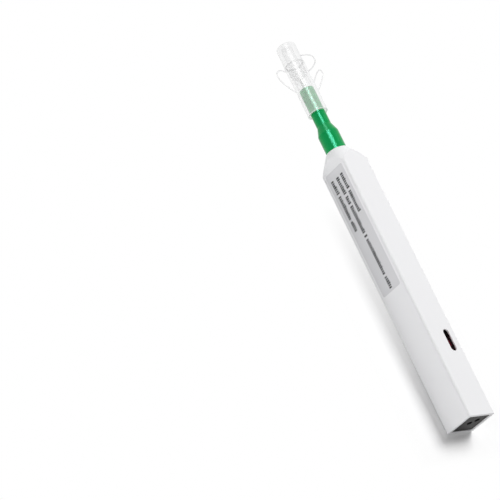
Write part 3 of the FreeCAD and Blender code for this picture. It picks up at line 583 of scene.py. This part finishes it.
class PEN_OT_guide_cap(bpy.types.Operator):
    """Frosted guide cap, its lid, and the clear loops"""
    bl_idname = "pen.guide_cap"
    bl_label = "Guide cap and lid"

    def execute(self, context):
        colours = context.scene.pen_colours
        sizes = context.scene.pen_sizes
        mouth = (CAP_HIGH.x, -MOUTH_DEPTH, MOUTH_MILK, 0.0)
        seam = (CAP_LOW.x, SEAM_DEPTH, 0.0, SEAM_SMOKE)
        dress(frosted("cap_frosted", colours.cap, sizes.cap_milk, sizes.cap_smoke,
                      sizes.edge_painted_shade, tube_rim("guide_cap"), sizes.far_milk, (mouth, seam)),
              "guide_cap")
        dress(frosted("lid_frosted", colours.cap, sizes.lid_milk, sizes.lid_smoke,
                      sizes.edge_painted_shade, tube_rim("cap_lid"), sizes.far_milk), "cap_lid")
        clear = frosted("loop_clear", colours.loops, sizes.loop_milk, sizes.loop_smoke,
                        sizes.edge_painted_shade)
        dress(clear, "cap_lower_loop", "cap_upper_loop", "lid_tether")
        source = NODES["lid_tether"]
        tether = bpy.data.objects.new("tether_strap", source.data.copy())
        context.scene.collection.objects.link(tether)
        merge_doubles(tether)
        tether.data.shade_smooth()
        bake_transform(tether)
        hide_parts("lid_tether")
        return {"FINISHED"}


class PEN_OT_reels(bpy.types.Operator):
    """Red reels and the thread wound on them"""
    bl_idname = "pen.reels"
    bl_label = "Reels and thread"

    def execute(self, context):
        colours = context.scene.pen_colours
        dress(moulded("reel_red", colours.reel, 0.3, tone=0.1), "take_up_reel", "supply_reel")
        thread = fibrous("thread_white", colours.thread, 6000.0, 4e-5)
        dress(thread, "take_up_thread", "supply_thread", "supply_strand", "take_up_strand",
              "tip_thread")
        return {"FINISHED"}


class PEN_OT_springs(bpy.types.Operator):
    """Return spring behind the chassis and the small spring behind the cleaning head"""
    bl_idname = "pen.springs"
    bl_label = "Springs"

    def execute(self, context):
        colours = context.scene.pen_colours
        sizes = context.scene.pen_sizes
        wire = steel("spring_steel", colours.spring, 0.28)
        tree = coil_tree()
        for node, body, joint, travel, size, turns in (
                ("return_spring", "shell_body", "push_stroke", PUSH_TRAVEL,
                 sizes.return_wire, sizes.return_turns),
                ("tip_spring", "spindle_body", "head_press", PRESS_TRAVEL,
                 sizes.tip_wire, sizes.tip_turns)):
            low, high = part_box(node)
            length = high.x - low.x
            spring = grown(node.replace("spring", "coil"), tree, {
                "Centre": ((low.x + high.x) / 2, 0.0, PEN_AXIS_Z), "Turn": (0, math.pi / 2, 0),
                "Radius": (high.z - low.z - size) / 2, "Length": length - size, "Wire": size,
                "Turns": float(turns), "Steps": COIL_STEPS, "Sides": COIL_SIDES, "Material": wire})
            spring.data.shade_smooth()
            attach(spring, body)
            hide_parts(node)
            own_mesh(spring)
        return {"FINISHED"}


class PEN_OT_works(bpy.types.Operator):
    """Chassis, gear, pawl, screws, axles, spindle and cleaning head"""
    bl_idname = "pen.works"
    bl_label = "Works"

    def execute(self, context):
        colours = context.scene.pen_colours
        acetal = moulded("works_acetal", colours.works, 0.45)
        dress(acetal, "drive_rail", "click_pawl", "spindle_bearing", "drive_pinion", "spindle",
              "head_retainer", "cleaning_head")
        dress(moulded("chassis_dark", colours.chassis, 0.5, grain=6e-6), "chassis_base",
              "chassis_cover")
        dress(fibrous("felt_grey", colours.felt, 2500.0, 8e-5), "supply_brake")
        dress(steel("pin_steel", colours.pin, 0.2), "take_up_axle", "supply_axle")
        dress(steel("screw_steel", colours.screw, 0.35), "chassis_screws")
        return {"FINISHED"}


# Stage

def seen_rays(graph):
    """1 for rays that should see a plain white studio: from the camera, a mirror or glass."""
    path = graph.node("ShaderNodeLightPath").outputs
    either = graph.math("MAXIMUM", path["Is Camera Ray"], path["Is Glossy Ray"])
    return graph.math("MAXIMUM", either, path["Is Transmission Ray"])


def floor_material():
    """White floor that keeps the pen's shadow, with painted white light that fades the shadow out
    outwards and towards the tip.
    """
    material, graph, shader = new_material("studio_floor", FLOOR_COLOUR)
    shader.inputs["Base Color"].default_value = (*FLOOR_COLOUR, 1)
    shader.inputs["Roughness"].default_value = 1.0
    shader.inputs["Specular IOR Level"].default_value = 0.0
    place = graph.node("ShaderNodeTexCoord").outputs["Object"]
    where = graph.node("ShaderNodeSeparateXYZ", {0: place}).outputs
    beside = graph.math("SUBTRACT", graph.math("ABSOLUTE", where["Y"]), SHELL_HIGH.y)
    behind = graph.math("MULTIPLY", graph.math("SUBTRACT", where["X"], SHELL_HIGH.x),
                        PAINTED_FADE_SOONER_BEHIND)
    away = graph.ramp(graph.math("MAXIMUM", beside, behind), PAINTED_FADE_START, PAINTED_FADE_END)
    tip = graph.ramp(where["X"], TIP_PAINTED_FADE_START, TIP_PAINTED_FADE_END)
    # Painted light: white emission, seen by the camera, mirrors and glass, is mixed in away from
    # the shell and towards the tip, painting the real shadow out
    painted_shadow_fade = graph.math("MULTIPLY", seen_rays(graph), graph.math("MAXIMUM", away, tip))
    white = graph.node("ShaderNodeEmission", {"Color": WHITE, "Strength": 1.0})
    both = graph.node("ShaderNodeMixShader", {0: painted_shadow_fade, 1: shader.outputs[0],
                                              2: white.outputs[0]})
    surface = material.node_tree.nodes["Material Output"].inputs["Surface"]
    graph.give(surface, both.outputs[0])
    return material


def area_lamp(name, place, target, size, watts, lights=True, shines=True):
    """Soft lamp. It may light surfaces without shining in them, or the other way round."""
    data = bpy.data.lights.new(name, "AREA")
    data.shape = "RECTANGLE"
    data.size, data.size_y = size
    data.energy = watts
    lamp = bpy.data.objects.new(name, data)
    bpy.context.scene.collection.objects.link(lamp)
    back = (Vector(place) - Vector(target)).normalized()
    across = Vector((1, 0, 0)) - back * back.x
    across.normalize()
    turn = Matrix((across, back.cross(across), back)).transposed().to_4x4()
    lamp.matrix_world = Matrix.Translation(place) @ turn
    lamp.visible_camera = False
    lamp.visible_diffuse = lights
    lamp.visible_glossy = shines


def studio_floor(side):
    """Square floor, a hair below the pen."""
    half = side / 2
    mesh = bpy.data.meshes.new("studio_floor")
    mesh.from_pydata([(-half, -half, 0), (half, -half, 0), (half, half, 0), (-half, half, 0)],
                     [], [(0, 1, 2, 3)])
    mesh.transform(Matrix.Translation((0, 0, -FLOOR_DROP)))
    mesh.materials.append(floor_material())
    floor = bpy.data.objects.new("studio_floor", mesh)
    bpy.context.scene.collection.objects.link(floor)


def studio_sky(strength):
    """Even white light that looks plain white wherever it is seen."""
    world = bpy.data.worlds.new("studio_sky")
    world.use_nodes = True
    graph = Graph(world.node_tree)
    world.node_tree.nodes.clear()
    light = graph.node("ShaderNodeBackground", {"Color": WHITE, "Strength": strength})
    white = graph.node("ShaderNodeBackground", {"Color": WHITE, "Strength": 1.0})
    both = graph.node("ShaderNodeMixShader", {0: seen_rays(graph), 1: light.outputs[0],
                                              2: white.outputs[0]})
    graph.node("ShaderNodeOutputWorld", {"Surface": both.outputs[0]})
    bpy.context.scene.world = world


def studio_camera(lens):
    """Camera above the butt end, on the label's side."""
    data = bpy.data.cameras.new("studio_camera")
    data.sensor_width, data.lens = CAMERA_SENSOR, lens
    data.clip_start, data.clip_end = CAMERA_CLIP
    camera = bpy.data.objects.new("studio_camera", data)
    bpy.context.scene.collection.objects.link(camera)
    upward = CAMERA_BACK.cross(CAMERA_RIGHT)
    turn = Matrix((CAMERA_RIGHT, upward, CAMERA_BACK)).transposed().to_4x4()
    camera.matrix_world = Matrix.Translation(CAMERA_PLACE) @ turn
    bpy.context.scene.camera = camera


class PEN_OT_studio(bpy.types.Operator):
    """Pale floor, soft lamps, even sky and the camera"""
    bl_idname = "pen.studio"
    bl_label = "Studio"

    def execute(self, context):
        scene = context.scene
        studio = scene.pen_studio
        studio_floor(studio.floor)
        area_lamp("key_lamp", (-0.9, 1.0, 2.1), UNDER_PEN, (1.1, 1.1), studio.key,
                  shines=False)
        area_lamp("strip_lamp", (-0.81, -1.05, 1.44), UNDER_NOZZLE, (0.12, 1.0),
                  studio.stripe, lights=False)
        area_lamp("cone_lamp", (-1.67, -0.71, 0.97), UNDER_NOZZLE, (0.6, 0.6),
                  studio.cone, lights=False)
        area_lamp("fill_lamp", (0.2, -1.9, 0.5), UNDER_PEN, (1.2, 0.8), studio.fill)
        studio_sky(studio.sky)
        studio_camera(studio.lens)
        scene.view_settings.view_transform = "Standard"
        scene.cycles.transparent_max_bounces = CLEAR_FACES_CROSSED
        return {"FINISHED"}


class PEN_PT_panel(bpy.types.Panel):
    """Lists the pen's pieces and their sizes"""
    bl_label = "Cleaning pen"
    bl_idname = "PEN_PT_panel"
    bl_space_type = "VIEW_3D"
    bl_region_type = "UI"
    bl_category = "Cleaning pen"

    def draw(self, context):
        layout = self.layout
        for operator in OPERATORS:
            layout.operator(operator.bl_idname)
        scene = context.scene
        for group in (scene.pen_colours, scene.pen_sizes, scene.pen_studio):
            column = layout.column(align=True)
            for name in group.bl_rna.properties.keys():
                if name not in {"rna_type", "name"}:
                    column.prop(group, name)


GROUPS = (PenColours, PenSizes, StudioSizes)
OPERATORS = (PEN_OT_shell, PEN_OT_print, PEN_OT_nozzle, PEN_OT_guide_cap, PEN_OT_reels,
             PEN_OT_springs, PEN_OT_works, PEN_OT_studio)


def register():
    for item in (*GROUPS, *OPERATORS, PEN_PT_panel):
        bpy.utils.register_class(item)
    bpy.types.Scene.pen_colours = PointerProperty(type=PenColours)
    bpy.types.Scene.pen_sizes = PointerProperty(type=PenSizes)
    bpy.types.Scene.pen_studio = PointerProperty(type=StudioSizes)


def unregister():
    del bpy.types.Scene.pen_colours, bpy.types.Scene.pen_sizes, bpy.types.Scene.pen_studio
    for item in reversed((*GROUPS, *OPERATORS, PEN_PT_panel)):
        bpy.utils.unregister_class(item)


def main():
    register()
    bpy.ops.pen.shell()
    bpy.ops.pen.print()
    bpy.ops.pen.nozzle()
    bpy.ops.pen.guide_cap()
    bpy.ops.pen.reels()
    bpy.ops.pen.springs()
    bpy.ops.pen.works()
    bpy.ops.pen.studio()


if __name__ == "__main__":
    main()
